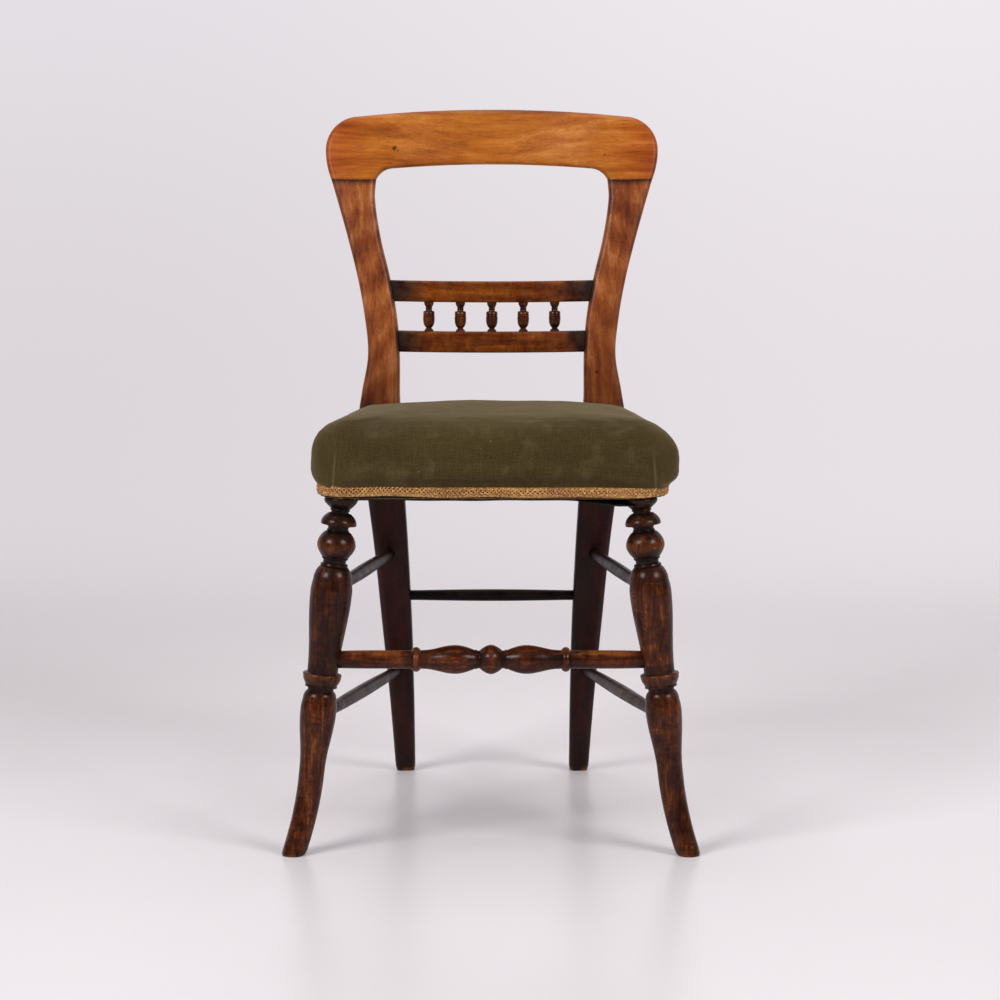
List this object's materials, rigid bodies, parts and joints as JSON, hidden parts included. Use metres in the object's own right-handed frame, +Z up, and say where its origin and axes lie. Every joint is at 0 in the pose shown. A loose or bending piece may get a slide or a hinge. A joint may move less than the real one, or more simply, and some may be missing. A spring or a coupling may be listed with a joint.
{
  "type": "upholstered wooden side chair",
  "caption": "Victorian stained-wood side chair with turned splayed front legs, a yoke back with spindles and a velvet stuffed-over seat.",
  "frame": {"origin": "on the floor, under the middle of the chair's width and depth", "axes": "+Z up; the sitter faces -Y; +X is on the right as seen from the front, the sitter's left"},
  "size_m": [0.481, 0.4948, 0.86],
  "materials": {
    "polished_honey_wood": "worn French polish",
    "stained_brown_wood": "worn stain and polish",
    "stained_rail_wood": "worn stain and polish",
    "stained_turned_wood": "dark stain, rubbed on the high points",
    "blackened_rod_wood": "near-black stain, dull",
    "unfinished_beech": "bare",
    "jute_webbing": "woven",
    "hessian_cloth": "woven",
    "curled_hair": "matted",
    "olive_velvet": "short pile, rubbed",
    "tan_braid": "looped braid",
    "black_lining": "plain weave"
  },
  "bodies": {
    "root": {"crest_rail": "polished_honey_wood", "crest_dowel_left_inner": "unfinished_beech", "crest_dowel_left_outer": "unfinished_beech", "crest_dowel_right_inner": "unfinished_beech", "crest_dowel_right_outer": "unfinished_beech", "back_post_left": "stained_brown_wood", "back_post_right": "stained_brown_wood", "upper_cross_rail": "stained_rail_wood", "lower_cross_rail": "stained_rail_wood", "spindle_1": "stained_turned_wood", "spindle_2": "stained_turned_wood", "spindle_3": "stained_turned_wood", "spindle_4": "stained_turned_wood", "spindle_5": "stained_turned_wood", "front_leg_left": "stained_turned_wood", "front_leg_right": "stained_turned_wood", "front_stretcher": "stained_turned_wood", "side_stretcher_upper_left": "blackened_rod_wood", "side_stretcher_upper_right": "blackened_rod_wood", "side_stretcher_lower_left": "blackened_rod_wood", "side_stretcher_lower_right": "blackened_rod_wood", "rear_stretcher": "blackened_rod_wood", "front_seat_rail": "unfinished_beech", "side_seat_rail_left": "unfinished_beech", "side_seat_rail_right": "unfinished_beech", "rear_seat_rail": "unfinished_beech", "glue_block_front_left": "unfinished_beech", "glue_block_front_right": "unfinished_beech", "glue_block_rear_left": "unfinished_beech", "glue_block_rear_right": "unfinished_beech", "webbing_lengthwise_1": "jute_webbing", "webbing_lengthwise_2": "jute_webbing", "webbing_lengthwise_3": "jute_webbing", "webbing_crosswise_1": "jute_webbing", "webbing_crosswise_2": "jute_webbing", "webbing_crosswise_3": "jute_webbing", "hessian": "hessian_cloth", "seat_stuffing": "curled_hair", "velvet_cover": "olive_velvet", "gimp_braid_front": "tan_braid", "gimp_braid_rear": "tan_braid", "bottom_cloth": "black_lining"}
  },
  "joints": []
}
